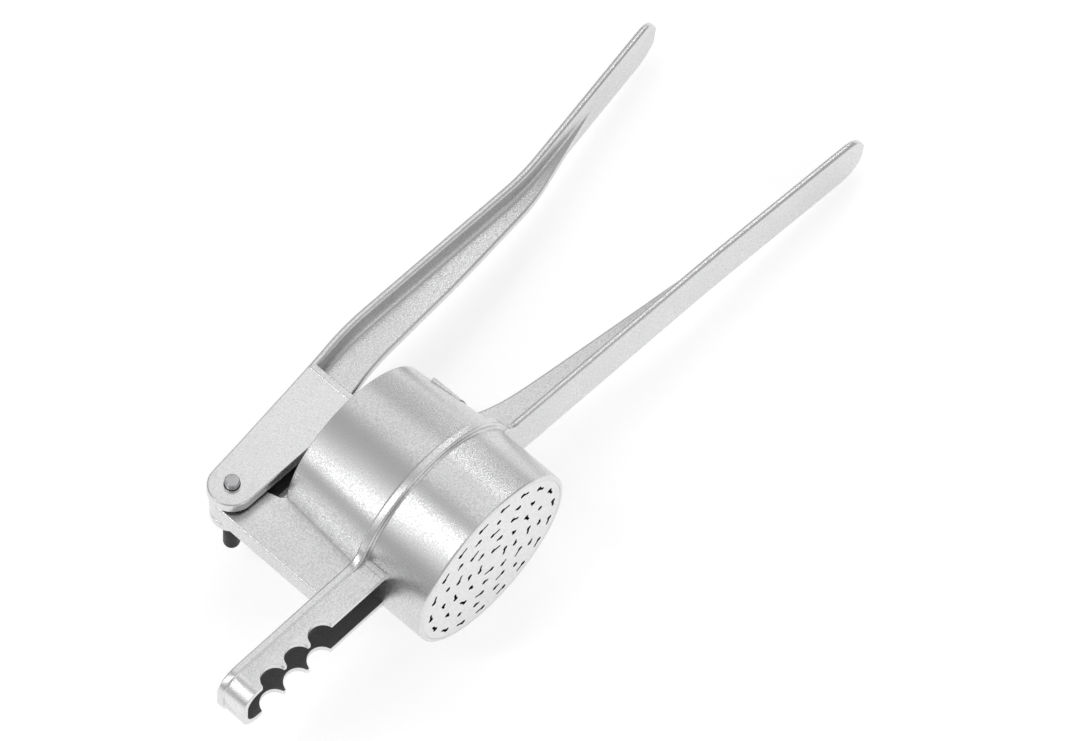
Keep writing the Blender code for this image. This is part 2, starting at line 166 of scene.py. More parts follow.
# %% [markdown]
# ## Joining and cutting
#
# A casting is one skin, so its plates and bars are united. The exact Boolean does this
# cleanly. It is a modifier, so `combined` lends the shapes to it as objects and takes the
# evaluated result back as a bmesh.

# %% Unite or cut shapes


def combined(first, others, operation):
    lent = []
    for bm in [first, *others]:
        mesh = bpy.data.meshes.new("lent")
        bm.to_mesh(mesh)
        bm.free()
        obj = bpy.data.objects.new("lent", mesh)
        bpy.context.scene.collection.objects.link(obj)
        lent.append(obj)
    for other in lent[1:]:
        modifier = lent[0].modifiers.new("combine", "BOOLEAN")
        modifier.operation = operation
        modifier.object = other
        modifier.solver = "EXACT"
    bpy.context.view_layer.update()
    graph = bpy.context.evaluated_depsgraph_get()
    result = bmesh.new()
    result.from_mesh(lent[0].evaluated_get(graph).data)
    for obj in lent:
        bpy.data.meshes.remove(obj.data)
    return result


def across(bm, x, z):
    """Turns a shape drawn about Z so that its axis lies along Y, at (x, z)."""
    bmesh.ops.rotate(bm, verts=bm.verts, matrix=Matrix.Rotation(-math.pi / 2, 3, "X"))
    bmesh.ops.translate(bm, verts=bm.verts, vec=(x, 0, z))
    return bm


def drill(x, z, radius, near, far):
    """A cutter for a hole across the tool, from y = near to y = far."""
    return across(turned([(0, near), (radius, near), (radius, far), (0, far)], 64), x, z)


def paint_channel_shade(bm, low, high):
    """Gives the faces whose middle is in a box the piece's second material, a painted shade."""
    for face in bm.faces:
        middle = face.calc_center_median()
        if all(a < v < b for a, v, b in zip(low, middle, high)):
            face.material_index = 1


# %% [markdown]
# ## Handing a piece over
#
# Every finished piece lands in the lying frame with its object at the origin, rides on a
# body of the mechanism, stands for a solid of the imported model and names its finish.

# %% Finish a piece
SHARP_FOLD = math.radians(32)


def finished(bm, name, body, node, finish):
    bmesh.ops.transform(bm, matrix=LIE_DOWN, verts=bm.verts)
    bmesh.ops.recalc_face_normals(bm, faces=bm.faces)
    mesh = bpy.data.meshes.new(name)
    bm.to_mesh(mesh)
    bm.free()
    mesh.shade_smooth()
    mesh.set_sharp_from_angle(angle=SHARP_FOLD)
    mesh.materials.append(finish)
    obj = bpy.data.objects.new(name, mesh)
    bpy.context.scene.collection.objects.link(obj)
    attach(obj, body)
    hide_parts(node)
    flatten = obj.modifiers.new("flat faces stay flat", "WEIGHTED_NORMAL")
    flatten.keep_sharp = True
    mesh.calc_loop_triangles()
    print(name, "has", len(mesh.loop_triangles), "triangles")
    return obj


# %% [markdown]
# ## Finishes
#
# The castings come out of a tumbler: the skin is a fine, even grain that spreads
# reflections into soft bands. Three layers make it. A fine noise bumps the surface at the
# grain's size, roughens it and darkens its pits. A broad noise varies the tone, as handling
# does. The curvature of the mesh brightens the outer edges, where the tumbler and hands
# have polished them. Inside the channels a darker, rougher copy of the metal is painted
# shade for the shadow that falls there.

# %% A node helper and the satin metal


def node(tree, kind, **values):
    made = tree.nodes.new(kind)
    for key, value in values.items():
        if key in made.inputs:
            made.inputs[key].default_value = value
        else:
            setattr(made, key, value)
    return made


def noise_at(tree, scale, detail, roughness=0.55):
    """A noise on the piece's own coordinates; scale is in cells per metre."""
    place = node(tree, "ShaderNodeTexCoord")
    noise = node(tree, "ShaderNodeTexNoise", Scale=scale, Detail=detail, Roughness=roughness)
    tree.links.new(place.outputs["Object"], noise.inputs["Vector"])
    return noise.outputs["Fac"]


def spread(tree, source, low, high, start=0.3, end=0.7):
    """Maps a factor to the range low to high."""
    ranged = node(tree, "ShaderNodeMapRange")
    for name, value in zip(
        ("From Min", "From Max", "To Min", "To Max"), (start, end, low, high)
    ):
        ranged.inputs[name].default_value = value
    tree.links.new(source, ranged.inputs["Value"])
    return ranged.outputs["Result"]


def mixed(tree, factor, first, second):
    """Blends two colours; each is a colour or a socket."""
    mix = node(tree, "ShaderNodeMix", data_type="RGBA")
    sockets = [s for s in mix.inputs if s.type == "RGBA"]
    tree.links.new(factor, mix.inputs["Factor"])
    for socket, value in zip(sockets, (first, second)):
        if isinstance(value, tuple):
            socket.default_value = (*value, 1)
        else:
            tree.links.new(value, socket)
    return next(s for s in mix.outputs if s.type == "RGBA")


HANDLING = 22  # cells per metre of the broad noise
GRAIN_SHADE, PIT_SHADE, WORN_SHADE = 0.91, 0.8, 1.12
ROUGH_RANGE = 0.12


def shaded(colour, by):
    return tuple(min(1.0, by * c) for c in colour)


def satin_metal(name, dark, light, rough, grain, bump, edge_gain=0.5):
    """A metal skin: grain is in cells per metre, bump is its height in metres."""
    material = bpy.data.materials.new(name)
    material.use_nodes = True
    tree = material.node_tree
    shader = tree.nodes["Principled BSDF"]
    shader.inputs["Metallic"].default_value = 1.0
    broad = noise_at(tree, HANDLING, 3)
    fine = noise_at(tree, grain, 2)
    tone = mixed(tree, spread(tree, broad, 0.0, 1.0), dark, light)
    grains = spread(tree, fine, 0.0, 0.8, 0.4, 0.6)
    tone = mixed(tree, grains, tone, shaded(dark, GRAIN_SHADE))
    pits = spread(tree, fine, 0.0, 0.4, 0.60, 0.72)
    tone = mixed(tree, pits, tone, shaded(dark, PIT_SHADE))
    curve = node(tree, "ShaderNodeNewGeometry").outputs["Pointiness"]
    worn = spread(tree, curve, 0.0, edge_gain, 0.505, 0.56)
    tone = mixed(tree, worn, tone, shaded(light, WORN_SHADE))
    tree.links.new(tone, shader.inputs["Base Color"])
    gloss = spread(tree, fine, rough, rough + ROUGH_RANGE, 0.42, 0.74)
    tree.links.new(gloss, shader.inputs["Roughness"])
    bumped = node(tree, "ShaderNodeBump", Strength=0.5, Distance=bump)
    tree.links.new(fine, bumped.inputs["Height"])
    tree.links.new(bumped.outputs["Normal"], shader.inputs["Normal"])
    return material


cast_skin = satin_metal(
    "tumbled_cast_aluminium", (0.68, 0.68, 0.685), (0.77, 0.77, 0.775),
    rough=0.27, grain=1300, bump=0.00003,
)
# Painted shade: a dark, rougher copy of the cast metal for the faces inside the channels, where
# shadow falls.
channel_shade_skin = satin_metal(
    "aluminium_painted_channel_shade", (0.27, 0.27, 0.275), (0.35, 0.35, 0.355),
    rough=0.5, grain=1500, bump=0.0001, edge_gain=0.0,
)
sieve_skin = satin_metal(
    "pressed_aluminium_face", (0.80, 0.80, 0.80), (0.86, 0.86, 0.86),
    rough=0.46, grain=1300, bump=0.00006, edge_gain=0.2,
)
plunger_skin = satin_metal(
    "satin_plunger_aluminium", (0.60, 0.60, 0.61), (0.70, 0.70, 0.71),
    rough=0.34, grain=1200, bump=0.00006,
)
pin_skin = satin_metal(
    "turned_steel", (0.46, 0.46, 0.47), (0.58, 0.58, 0.59),
    rough=0.24, grain=2600, bump=0.00002, edge_gain=0.3,
)
# Painted shade: near black for the walls of the keyholes, where shadow falls.
hole_shade_skin = satin_metal(
    "keyhole_painted_shade", (0.045, 0.045, 0.045), (0.07, 0.07, 0.07),
    rough=0.6, grain=1500, bump=0.00008, edge_gain=0.0,
)
metals = (cast_skin, channel_shade_skin, sieve_skin, plunger_skin, pin_skin, hole_shade_skin)
print("metals made:", [m.name for m in metals])

# %% [markdown]
# The sleeve on the hinge pin is black moulded plastic. It is a dielectric with a dull
# sheen, and handling has polished some of its grain.

# %% Black plastic


def black_plastic():
    material = bpy.data.materials.new("black_moulded_plastic")
    material.use_nodes = True
    tree = material.node_tree
    shader = tree.nodes["Principled BSDF"]
    blotches = spread(tree, noise_at(tree, 90, 3), 0.0, 1.0)
    tone = mixed(tree, blotches, (0.005, 0.005, 0.005), (0.012, 0.012, 0.013))
    tree.links.new(tone, shader.inputs["Base Color"])
    tree.links.new(spread(tree, noise_at(tree, 160, 3), 0.34, 0.5), shader.inputs["Roughness"])
    shader.inputs["Specular IOR Level"].default_value = 0.2
    bumped = node(tree, "ShaderNodeBump", Strength=0.4, Distance=0.00005)
    tree.links.new(noise_at(tree, 1800, 2), bumped.inputs["Height"])
    tree.links.new(bumped.outputs["Normal"], shader.inputs["Normal"])
    return material


sleeve_plastic = black_plastic()
print("plastic made:", sleeve_plastic.name)

# %% [markdown]
# ## The cup
#
# The cup wall is a turned ring: a lip that holds the disc, a straight foot, the collar at
# the mould's parting line, and a wall that tapers to the rim. One closed profile gives the
# outside and the bore together, and softening its rings gives the bead of the collar and
# the rolled look of the lip.

# %% Cup wall
FOOT_R, COLLAR_R, RIM_R, BORE_R = 43.4, 46.3, 40.7, 38.6
COLLAR_LOW, COLLAR_HIGH, CUP_TOP = 32.3, 36.5, 79.5
LIP_R, LIP_DEPTH = 41.46, 3.8
RING_ROUNDING = {0.0: 0.9, COLLAR_LOW: 0.85, COLLAR_HIGH: 0.85, CUP_TOP: 0.45}


def cup_wall():
    wall = [
        (LIP_R, 0.0), (FOOT_R, 0.0), (FOOT_R + 0.3, COLLAR_LOW), (COLLAR_R, COLLAR_LOW),
        (COLLAR_R, COLLAR_HIGH), (FOOT_R + 0.4, COLLAR_HIGH), (RIM_R, CUP_TOP),
        (BORE_R + 0.5, CUP_TOP), (BORE_R, CUP_TOP - 1.5), (BORE_R, LIP_DEPTH), (LIP_R, LIP_DEPTH),
    ]
    bm = turned(wall, 160)
    rings = {height: [] for height in RING_ROUNDING}
    for edge in bm.edges:
        a, b = (v.co for v in edge.verts)
        level = abs(a.z - b.z) < 0.01 and abs(a.xy.length - b.xy.length) < 0.01
        height = round(a.z, 1)
        rounded = a.xy.length > LIP_R + 0.5 or height == CUP_TOP
        if level and rounded and height in rings:
            rings[height].append(edge)
    for height, width in RING_ROUNDING.items():
        round_edges(bm, rings[height], width, 5)
    return tidy(bm)


cup = cup_wall()
print("cup wall faces:", len(cup.faces))

# %% [markdown]
# ## Bars with a T section
#
# Both handles are a flat flange with a rib that is deep at the cup and runs out towards
# the grip. A T drawn as one face has its corners rounded first. Then it is extruded along
# X, cut into stations, and each station's points are moved: the flange follows the
# handle's bend and widens into a fillet at the root, the rib follows its own depth, and
# the end closes into a round tip.

# %% T bar
SECTION = 3.5
DRAWN_RIB = 8.0
RIB_FOOT, RIB_CREST = 3.0, 2.1
TIP_ROUNDING, THINNEST_TIP, NARROWEST_TIP = 1.6, 0.3, 0.7


def round_corners(bm, places, radius, segments):
    """Rounds the corners of a flat outline at the given (y, z) places."""
    chosen = [v for v in bm.verts if (round(v.co.y, 3), round(v.co.z, 3)) in places]
    bmesh.ops.bevel(
        bm, geom=chosen, offset=radius, offset_type="OFFSET", segments=segments,
        profile=0.5, affect="VERTICES", material=-1,
    )


def t_section(bm, half):
    """The T as one face in the YZ plane, back of the flange at z = 0."""
    top = SECTION + DRAWN_RIB
    right = [(half, 0.0), (half, SECTION), (RIB_FOOT, SECTION), (RIB_CREST, top)]
    outline = right + [(-y, z) for y, z in reversed(right)]
    bm.faces.new([bm.verts.new((0, y, z)) for y, z in outline])
    flange = {(s * half, z) for s in (-1, 1) for z in (0.0, SECTION)}
    round_corners(bm, flange, radius=1.3, segments=4)
    round_corners(bm, {(-RIB_FOOT, SECTION), (RIB_FOOT, SECTION)}, radius=2.4, segments=5)
    round_corners(bm, {(-RIB_CREST, top), (RIB_CREST, top)}, radius=1.2, segments=4)


def read(x, stations):
    """A value along the bar from (x, value) stations, its kinks smoothed over 20 mm."""
    xs, values = zip(*stations)
    window = np.linspace(-10, 10, 9)
    return float(np.mean(np.interp(x + window, xs, values)))


def t_bar(root, tip, half, back, rib, rib_side, flare):
    """back and rib are stations of the flange's back face and of the rib's depth."""
    bm = bmesh.new()
    t_section(bm, half)
    extrude(bm, bm.faces[:], (tip - root, 0, 0))
    bmesh.ops.translate(bm, verts=bm.verts, vec=(root, 0, 0))
    centre = tip - half
    stations = list(np.arange(root + 1, root + 14, 1.0))
    stations += list(np.arange(root + 14, centre, 4.0))
    stations += [centre + half * math.sin(math.radians(a)) for a in range(0, 90, 5)]
    for x in stations:
        everything = bm.verts[:] + bm.edges[:] + bm.faces[:]
        bmesh.ops.bisect_plane(bm, geom=everything, plane_co=(x, 0, 0), plane_no=(1, 0, 0))
    for v in bm.verts:
        v.co = placed_on_bar(v.co, tip, half, back, rib, rib_side, flare)
    return tidy(bm)


def placed_on_bar(co, tip, half, back, rib, rib_side, flare):
    x, y, s = co
    depth = max(read(x, rib), 0.0)
    if s > SECTION + DRAWN_RIB / 2 and depth > DRAWN_RIB:
        s += depth - DRAWN_RIB
    elif s > SECTION and depth < DRAWN_RIB:
        s = SECTION + (s - SECTION) * depth / DRAWN_RIB
    width = flare(x)
    reach = x - (tip - half)
    if reach > 0:
        width = max(math.sqrt(max(half**2 - reach**2, 0.0)), NARROWEST_TIP)
        edge = max((reach - half + TIP_ROUNDING) / TIP_ROUNDING, 0.0)
        thinned = max(math.sqrt(max(1 - edge**2, 0.0)), THINNEST_TIP)
        s = SECTION / 2 + (s - SECTION / 2) * thinned
    if width < half:
        y *= width / half
    elif abs(y) > half / 2:
        y += math.copysign(width - half, y)
    return Vector((x, y, read(x, back) + rib_side * s))


def cup_fillet(half, radius, wall):
    """A width along the bar that sweeps out to meet a round wall, in plan."""
    centre_y = half + radius
    centre_x = math.sqrt((wall + radius) ** 2 - centre_y**2)
    touch = centre_x * wall / (wall + radius)

    def width(x):
        if x >= centre_x:
            return half
        return centre_y - math.sqrt(radius**2 - (centre_x - max(x, touch)) ** 2)

    return width


def hug_wall(bm, root, radius):
    """Bends the root end of a bar to a round wall, so it ends inside the cup's wall."""
    for v in bm.verts:
        if abs(abs(v.co.x) - abs(root)) < 0.01:
            v.co.x = math.copysign(math.sqrt(radius**2 - v.co.y**2), root)


# %% Lower handle
HANDLE_BACK = ((38, 31.8), (170, 28.6), (272, 24.0))
HANDLE_RIB = (
    (36, 22.0), (44, 19.0), (49, 16.3), (56, 14.5), (71, 12.4), (180, 2.2), (193, 0.0), (272, 0.0)
)
HANDLE_ROOT, HANDLE_TIP = 40.0, 272.0
HANDLE_HALF, HANDLE_FILLET = 13.2, 8.0
IN_WALL_R = 40.6  # between the bore and the outside of the cup


def lower_handle():
    flare = cup_fillet(HANDLE_HALF, HANDLE_FILLET, COLLAR_R)
    bar = t_bar(HANDLE_ROOT, HANDLE_TIP, HANDLE_HALF, HANDLE_BACK, HANDLE_RIB, 1, flare)
    hug_wall(bar, HANDLE_ROOT, IN_WALL_R)
    return bar


handle = lower_handle()
print("lower handle faces:", len(handle.faces))

# %% [markdown]
# ## The pot rest
#
# Opposite the handle is a channel with three round notches, which hook over the rim of a
# pot. Its top plate carries the collar's band on and stands a little proud of the walls.
# The walls are a solid cut by a hollow and by three drills.

# %% Pot rest
ARM_TOP, ARM_FOOT, ARM_END = 36.1, 21.7, -124.5
ARM_HALF, ARM_CORNER, ARM_ROOT = 12.8, 10.0, -41.5
WALL_SETBACK, HOLLOW_SETBACK, ROOF_T = 0.7, 3.7, 3.6
NOTCHES, NOTCH_R = (-79.2, -92.8, -106.4), 6.2
TEETH_SPAN = (-114.4, -70.0)


def arm_plan(half, end, corner, fillet, wall):
    """The plan of the arm: a fillet at the cup on each side, and two round corners."""
    width = cup_fillet(half, fillet, wall)
    side = [(-x, width(x)) for x in np.linspace(-ARM_ROOT, -ARM_ROOT + 14, 15)]
    side += arc(end + corner, half - corner, corner, 90, 180, 10)
    return side + [(x, -y) for x, y in reversed(side)]


def arm_walls():
    back = WALL_SETBACK
    plan = arm_plan(ARM_HALF - back, ARM_END + back, ARM_CORNER - back, 5.0, FOOT_R)
    walls = plate(plan, ARM_FOOT, ARM_TOP - 1.0, along="Z")
    hug_wall(walls, ARM_ROOT, IN_WALL_R)
    inner, corner = ARM_HALF - HOLLOW_SETBACK, ARM_CORNER - HOLLOW_SETBACK
    turn_x = ARM_END + HOLLOW_SETBACK + corner
    hollow = [(ARM_ROOT - back, -inner), (ARM_ROOT - back, inner)]
    hollow += arc(turn_x, inner - corner, corner, 90, 180, 8)
    hollow += arc(turn_x, corner - inner, corner, 180, 270, 8)
    return walls, plate(hollow, ARM_FOOT - 8, ARM_TOP - ROOF_T, along="Z")


def round_teeth(walls):
    """Rounds the corners between the notches, as a casting has them."""
    corners = []
    for edge in walls.edges:
        a, b = (v.co for v in edge.verts)
        across_wall = abs(a.x - b.x) < 0.01 and abs(a.z - b.z) < 0.01
        at_foot = abs(a.z - ARM_FOOT) < 0.02
        if across_wall and at_foot and TEETH_SPAN[0] < a.x < TEETH_SPAN[1]:
            corners.append(edge)
    round_edges(walls, corners, 0.6, 3)


def pot_rest():
    walls, hollow = arm_walls()
    notches = [drill(x, ARM_FOOT - 1.0, NOTCH_R, -20, 20) for x in NOTCHES]
    walls = tidy(combined(walls, [hollow, *notches], "DIFFERENCE"))
    round_teeth(walls)
    tidy(soften(tidy(walls), 0.3, 2, 40))
    plan = arm_plan(ARM_HALF, ARM_END, ARM_CORNER, 10.0, COLLAR_R)
    top = plate(plan, COLLAR_LOW, ARM_TOP, along="Z")
    hug_wall(top, ARM_ROOT, IN_WALL_R)
    return soften(top, 0.8, 3, 40), walls


rest_top, rest_walls = pot_rest()
print("pot rest faces:", len(rest_top.faces), "on top and", len(rest_walls.faces), "below")

# %% [markdown]
# ## The hinge bracket and the badge pad
#
# A thick plate rises in front of the cup to the hinge lug. The pad on the cup wall is
# left blank.

# %% Bracket and pad
LUG_R, LUG_HALF = 9.5, 5.3
PAD_LOW, PAD_HIGH, PAD_HALF_ANGLE = 53.5, 69.0, 33


def bracket():
    outline = [(HINGE.x - LUG_R, ARM_TOP - 3)]
    outline += arc(HINGE.x, HINGE.z, LUG_R, 180, -30, 32)
    outline += [(-44.3, 88.0), (-42.2, 81.2), (-39.8, CUP_TOP - 0.6), (-39.8, ARM_TOP - 3)]
    return soften(plate(outline, -LUG_HALF, LUG_HALF), 0.8, 3, 30)


def badge_pad():
    outer = arc(0, 0, FOOT_R - 0.2, -PAD_HALF_ANGLE, PAD_HALF_ANGLE, 40)
    inner = arc(0, 0, BORE_R + 0.6, PAD_HALF_ANGLE, -PAD_HALF_ANGLE, 40)
    return soften(plate(outer + inner, PAD_LOW, PAD_HIGH, along="Z"), 0.4, 2, 40)


# %% [markdown]
# ## One casting
#
# The shapes so far are one pour of metal, so they are united before the hinge bore is
# drilled. The faces inside the pot rest's channel are painted darker, as painted shade.

# %% One casting
HINGE_BORE_R = 3.55
REST_SHADE_BOX = ((-120.9, -9.2, ARM_FOOT + 0.6), (-44.5, 9.2, COLLAR_LOW + 0.3))

body = combined(cup, [handle, rest_top, rest_walls, bracket(), badge_pad()], "UNION")
body = combined(body, [drill(HINGE.x, HINGE.z, HINGE_BORE_R, -20, 20)], "DIFFERENCE")
# Painted shade: the faces inside the pot rest's channel take the dark material.
paint_channel_shade(body, *REST_SHADE_BOX)
casting = finished(
    body, "cup_and_lower_handle", "body", "body_casting", cast_skin
)
casting.data.materials.append(channel_shade_skin)

# %% [markdown]
# ## The perforated disc
#
# The disc is a sheet pierced with rings of keyholes: a round hole with a narrow slot that
# trails round the ring, so that cut potato shears as it passes. Each keyhole is drawn at
# its place on its ring, and one mesh of straight cutters pierces the sheet in a single
# Boolean. The walls of the openings are painted near black, as painted shade.

# %% Disc
DISC_R, DISC_T = 41.4, 3.5
HOLE_R, SLOT_W = 1.3, 1.3
HOLE_RINGS = (  # radius, count, first angle, slot length, every nth hole plain
    (37.0, 18, 16.5, 5.8, 0),
    (29.4, 15, -15.8, -4.0, 3),
    (22.4, 11, 7.1, 5.8, 0),
    (14.5, 8, 11.9, -4.0, 0),
    (7.6, 4, 9.9, 5.8, 0),
)


def keyhole(length):
    """An outline about its own centre, its slot along +X; length 0 is a plain hole."""
    if length == 0:
        return arc(0, 0, HOLE_R, 0, 345, 23)
    neck = math.degrees(math.asin(SLOT_W / 2 / HOLE_R))
    back = HOLE_R - length / 2
    outline = [(back + x, y) for x, y in arc(0, 0, HOLE_R, neck, 360 - neck, 20)]
    return outline + arc(length / 2 - SLOT_W / 2, 0, SLOT_W / 2, -90, 90, 8)


def keyhole_cutters():
    every = bmesh.new()
    for radius, count, first, length, plain in HOLE_RINGS:
        for n in range(count):
            angle = math.radians(first) + math.tau * n / count
            size = 0 if plain and n % plain == 0 else abs(length)
            turn = angle + math.copysign(math.pi / 2, length)
            at = Vector((radius * math.cos(angle), radius * math.sin(angle), 0))
            matrix = Matrix.Translation(at) @ Matrix.Rotation(turn, 4, "Z")
            flat = [matrix @ Vector((x, y, 0)) for x, y in keyhole(size)]
            face = every.faces.new([every.verts.new((p.x, p.y, -1.0)) for p in flat])
            extrude(every, [face], (0, 0, DISC_T + 2))
    return tidy(every)


blank = soften(turned([(0, 0), (DISC_R, 0), (DISC_R, DISC_T), (0, DISC_T)], 160), 0.15, 2, 40)
sieve = combined(blank, [keyhole_cutters()], "DIFFERENCE")
# Painted shade: the keyhole walls take the near-black material.
for wall in sieve.faces:
    inside = wall.calc_center_median().xy.length < DISC_R - 1.5
    wall.material_index = 1 if inside and abs(wall.normal.z) < 0.5 else 0
face = finished(
    sieve, "perforated_face", "body", "perforated_disc", sieve_skin
)
face.data.materials.append(hole_shade_skin)

# %% [markdown]
# ## The lever
#
# The lever straddles the bracket with two cheeks, joined by a roof and an end wall. From
# there it is a T bar, which bends over the cup and again at the grip. The faces between
# the cheeks are painted darker, as painted shade.

# %% Lever
LEVER_BACK = ((-56, 106.6), (8, 114.6), (34, 118.6), (146, 119.0), (256, 137.6))
LEVER_RIB = ((0, 17.6), (11, 16.9), (91, 12.2), (147, 7.0), (188, 2.0), (201, 0.0), (256, 0.0))
LEVER_ROOT, LEVER_TIP, LEVER_HALF = 8.5, 255.0, 13.0
CHEEK_LOW = 85.9
CHANNEL_END, END_WALL = 11.5, 3.6
NEAR_CHEEK, FAR_CHEEK = (-12.5, -7.0, 10.5), (6.5, 11.0, 9.3)  # from y, to y, end radius
HANGER_BORE_R = 3.3
LEVER_SHADE_BOX = ((-60, -7.2, CHEEK_LOW + 0.9), (8.0, 6.7, 104.5))


def roof_line(stations, drop=0.0):
    return [(x, read(x, LEVER_BACK) - drop) for x in stations]


def cheek(low, high, radius):
    outline = arc(HINGE.x, HINGE.z, radius, 270, 97, 32)
    outline += roof_line((-40, -20, 0, 4, 8, CHANNEL_END))
    outline += [(CHANNEL_END, CHEEK_LOW), (-47, CHEEK_LOW)]
    return soften(plate(outline, low, high), 0.8, 3, 30)


def lever():
    stations = (-45, -20, 0, 4, 8, CHANNEL_END)
    roof = roof_line(stations, 0.05) + list(reversed(roof_line(stations, SECTION)))
    wall = roof_line((CHANNEL_END - END_WALL, CHANNEL_END - 0.1), 0.6)
    wall += [(CHANNEL_END - 0.1, CHEEK_LOW + 0.1), (CHANNEL_END - END_WALL, CHEEK_LOW + 0.1)]
    bar = t_bar(
        LEVER_ROOT, LEVER_TIP, LEVER_HALF, LEVER_BACK, LEVER_RIB, -1, lambda x: LEVER_HALF
    )
    end_wall = soften(plate(wall, -13.0, 11.5), 0.7, 3, 30)
    others = [cheek(*FAR_CHEEK), plate(roof, -11.6, 10.1), end_wall, bar]
    skin = combined(cheek(*NEAR_CHEEK), others, "UNION")
    hinge_bore = drill(HINGE.x, HINGE.z, HINGE_BORE_R, -30, 30)
    hanger_bore = drill(PLUNGER_PIVOT.x, PLUNGER_PIVOT.z, HANGER_BORE_R, -10.4, 30)
    return combined(skin, [hinge_bore, hanger_bore], "DIFFERENCE")


upper = lever()
# Painted shade: the faces between the cheeks take the dark material.
paint_channel_shade(upper, *LEVER_SHADE_BOX)
casting = finished(
    upper, "press_lever", "lever", "lever_casting", cast_skin
)
casting.data.materials.append(channel_shade_skin)

# %% [markdown]
# ## Pins
#
# The hinge pin is bright steel, pushed through the cheeks and the lug, with a black
# sleeve on its far end to pull it out by. The plunger hangs on a shorter, headed pin.

# %% Hinge pin, sleeve and plunger pin
pin = [(0, -15.6), (3.25, -15.6), (3.25, 11.3), (2.0, 11.3), (2.0, 24.3), (0, 24.3)]
pin = across(soften(turned(pin, 64), 0.5, 4, 40), HINGE.x, HINGE.z)
finished(pin, "hinge_pin_shank", "lever", "hinge_pin", pin_skin)

sleeve = [(0, 25.6), (2.3, 25.6), (2.3, 11.6), (3.7, 11.6)]
sleeve += [(3.7 * math.cos(a), 33.3 + 3.7 * math.sin(a)) for a in np.radians(range(0, 90, 9))]
sleeve = across(turned(sleeve + [(0, 37.0)], 64), HINGE.x, HINGE.z)
finished(sleeve, "hinge_pin_sleeve", "lever", "hinge_pin_grip", sleeve_plastic)

hanger = [(0, -10.0), (3.0, -10.0), (3.0, 11.3), (5.0, 11.3), (5.0, 13.1), (0, 13.1)]
hanger = across(soften(turned(hanger, 64), 0.5, 4, 40), PLUNGER_PIVOT.x, PLUNGER_PIVOT.z)
finished(hanger, "plunger_hanger_pin", "lever", "plunger_pin", pin_skin)

# %% [markdown]
# ## The plunger
#
# A round plate is screwed to a flat stem, whose eye hangs on the headed pin. It leans by
# one degree in the closed cup.

# %% Plunger
PLATE_LOW, PLATE_HIGH = 13.5, 16.7
PLATE_R = 32.0
STEM_FOOT = PLATE_HIGH + 1.7
HANG = (
    Matrix.Translation(PLUNGER_PIVOT)
    @ Matrix.Rotation(math.radians(-1), 4, "Y")
    @ Matrix.Translation(-PLUNGER_PIVOT)
)


def hung(bm, shift=True):
    """Moves a piece drawn about the cup's axis to where the plunger hangs."""
    if shift:
        bmesh.ops.translate(bm, verts=bm.verts, vec=(PLUNGER_PIVOT.x, 0, 0))
    bmesh.ops.transform(bm, matrix=HANG, verts=bm.verts)
    return bm


def pressing_plate():
    profile = [
        (2.9, PLATE_LOW + 1.6), (4.6, PLATE_LOW), (PLATE_R, PLATE_LOW), (PLATE_R, PLATE_HIGH),
        (13.4, PLATE_HIGH), (12.6, PLATE_HIGH + 1.4), (2.9, PLATE_HIGH + 1.4),
    ]
    return hung(soften(turned(profile, 128), 0.5, 3, 40))


def stem():
    x, foot = PLUNGER_PIVOT.x, STEM_FOOT
    outline = arc(x, PLUNGER_PIVOT.z, 7.0, 0, 180, 32)
    outline += [(x - 6, 78), (x - 6.5, foot + 16), (x - 11.5, foot + 4), (x - 11.5, foot + 0.5)]
    outline += [(x + 11.5, foot + 0.5), (x + 11.5, foot + 4), (x + 6.5, foot + 16), (x + 6, 78)]
    base = turned([(0, foot), (12, foot), (12, foot + 3.2), (0, foot + 3.2)], 96)
    soften(base, 0.8, 3, 40)
    rib = [(-11, foot + 1), (11, foot + 1), (5.2, foot + 15), (4.0, 72)]
    rib += [(-4.0, 72), (-5.2, foot + 15)]
    rib = soften(plate(rib, -2.5, 2.5), 0.6, 3, 30)
    bmesh.ops.rotate(rib, verts=rib.verts, matrix=Matrix.Rotation(math.pi / 2, 3, "Z"))
    for part in (base, rib):
        bmesh.ops.translate(part, verts=part.verts, vec=(x, 0, 0))
    skin = combined(soften(plate(outline, -5, 5), 0.9, 3, 30), [base, rib], "UNION")
    screw_hole = turned([(0, 0), (2.5, 0), (2.5, foot + 11), (0, foot + 11)], 48)
    bmesh.ops.translate(screw_hole, verts=screw_hole.verts, vec=(x, 0, 0))
    holes = [drill(x, PLUNGER_PIVOT.z, HANGER_BORE_R, -20, 20), screw_hole]
    return hung(combined(skin, holes, "DIFFERENCE"), shift=False)


def plate_screw():
    low = PLATE_LOW
    profile = [
        (0, low + 0.5), (1.0, low + 0.5), (1.0, low + 0.1), (4.0, low + 0.1),
        (2.2, low + 1.6), (2.2, low + 14), (0, low + 14),
    ]
    return hung(turned(profile, 48))


press = pressing_plate()
finished(press, "pressing_plate", "plunger", "plunger_plate", plunger_skin)
finished(stem(), "plunger_shank", "plunger", "plunger_stem", plunger_skin)
finished(plate_screw(), "plate_screw", "plunger", "plunger_screw", pin_skin)

# %% [markdown]
# ## Floor, light and camera
#
# A satin metal shows what surrounds it, so the light is what draws it. A pale floor and a
# pale sky give the even tone. Two long narrow lights, placed where the cup's wall mirrors
# them into the camera, draw bright bands along it. Two broad ones fill from above and from
# the front. The floor glows a little, so that the ground stays pale under the tool.

# %% Floor
PALE_GLOW = 0.46


